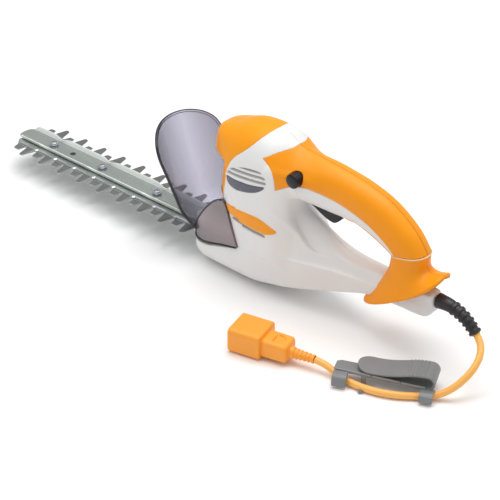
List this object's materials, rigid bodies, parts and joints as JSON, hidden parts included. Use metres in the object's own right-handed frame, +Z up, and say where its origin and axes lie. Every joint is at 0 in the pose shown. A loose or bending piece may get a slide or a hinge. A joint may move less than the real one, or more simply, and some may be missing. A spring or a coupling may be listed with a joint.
{
  "type": "hedge trimmer",
  "caption": "Electric hedge trimmer with a double-edged cutter bar, smoked hand guard, rear loop handle with trigger and lock-off button, and a short plug lead with a cord clip.",
  "frame": {"origin": "on the floor below the crank axis, at the middle of the flat part of the base", "axes": "+Z up; the cutter bar points along -X and the handle is at +X; the user's left side is -Y"},
  "size_m": [0.6646, 0.1805, 0.18],
  "materials": {
    "white_plastic": "satin moulded",
    "orange_plastic": "satin moulded",
    "orange_grip": "soft satin",
    "badge_plastic": "gloss",
    "smoke_plastic": "clear smoked gloss",
    "zinc_steel": "zinc plated",
    "bright_steel": "bright plated",
    "blade_steel": "ground and blued",
    "gear_steel": "hardened",
    "cast_alloy": "die cast",
    "core_steel": "laminated",
    "copper": "enamelled",
    "black_plastic": "moulded",
    "carbon": "matt",
    "amber_plastic": "gloss",
    "wire_cover": "matt",
    "black_rubber": "satin",
    "orange_cord": "satin",
    "brass_pins": "plated",
    "grey_plastic": "moulded"
  },
  "bodies": {
    "housing": {"housing_left": "white_plastic", "housing_right": "white_plastic", "motor_cover_left": "white_plastic", "motor_cover_right": "white_plastic", "front_cap": "orange_plastic", "trim_left": "orange_plastic", "trim_right": "orange_plastic", "vent_badge_left": "badge_plastic", "vent_badge_right": "badge_plastic", "grip_left": "orange_grip", "grip_right": "orange_grip", "handle_liner": "white_plastic", "rear_foot_left": "orange_plastic", "rear_foot_right": "orange_plastic", "hand_guard": "smoke_plastic", "guard_screws": "bright_steel", "base_plate": "zinc_steel", "gear_case": "cast_alloy", "crank_pin": "bright_steel", "guide_bar": "zinc_steel", "bar_screws": "bright_steel", "bar_spacers": "bright_steel", "bar_nuts": "bright_steel", "field_core": "core_steel", "field_coils": "copper", "motor_frame": "black_plastic", "bearing_lower": "bright_steel", "bearing_upper": "bright_steel", "brush_holders": "black_plastic", "carbon_brushes": "carbon", "switch_body": "black_plastic", "capacitor": "amber_plastic", "inner_leads": "wire_cover", "trigger_pin": "bright_steel", "trigger_spring": "bright_steel", "button_spring": "bright_steel", "strain_relief": "black_rubber", "cord": "orange_cord", "plug_body": "orange_cord", "plug_pins": "brass_pins", "cord_clip": "grey_plastic"},
    "upper_blade": {"upper_blade": "blade_steel"},
    "lower_blade": {"lower_blade": "blade_steel"},
    "crank": {"crank_gear": "gear_steel"},
    "rotor": {"armature": "core_steel", "commutator": "copper", "fan": "black_plastic", "pinion": "gear_steel"},
    "trigger": {"trigger": "black_plastic"},
    "lock_button": {"lock_button": "black_plastic"}
  },
  "joints": [
    {"name": "upper_blade_slide", "type": "slide", "parent": "housing", "child": "upper_blade", "axis": [1, 0, 0], "range_m": [-0.004, 0.004]},
    {"name": "lower_blade_slide", "type": "slide", "parent": "housing", "child": "lower_blade", "axis": [1, 0, 0], "range_m": [-0.004, 0.004]},
    {"name": "rotor_spin", "type": "hinge", "parent": "housing", "child": "rotor", "pos_m": [0.03, 0, 0.1], "axis": [0, 0, 1], "continuous": true},
    {"name": "crank_spin", "type": "hinge", "parent": "housing", "child": "crank", "pos_m": [0, 0, 0.035], "axis": [0, 0, 1], "continuous": true},
    {"name": "trigger_press", "type": "hinge", "parent": "housing", "child": "trigger", "pos_m": [0.092, 0, 0.1195], "axis": [0, -1, 0], "range_deg": [0, 7], "stiffness_Nm_per_rad": 0.4, "springref_deg": -8.59, "deforming": ["trigger_spring"]},
    {"name": "lock_button_press", "type": "slide", "parent": "housing", "child": "lock_button", "axis": [0, 1, 0], "range_m": [0, 0.003], "stiffness_N_per_m": 400, "springref_m": -0.002, "deforming": ["button_spring"]}
  ],
  "couplings": [
    {"joint": "lower_blade_slide", "follows": "upper_blade_slide", "ratio": -1},
    {"joint": "crank_spin", "follows": "rotor_spin", "ratio": -0.2}
  ]
}
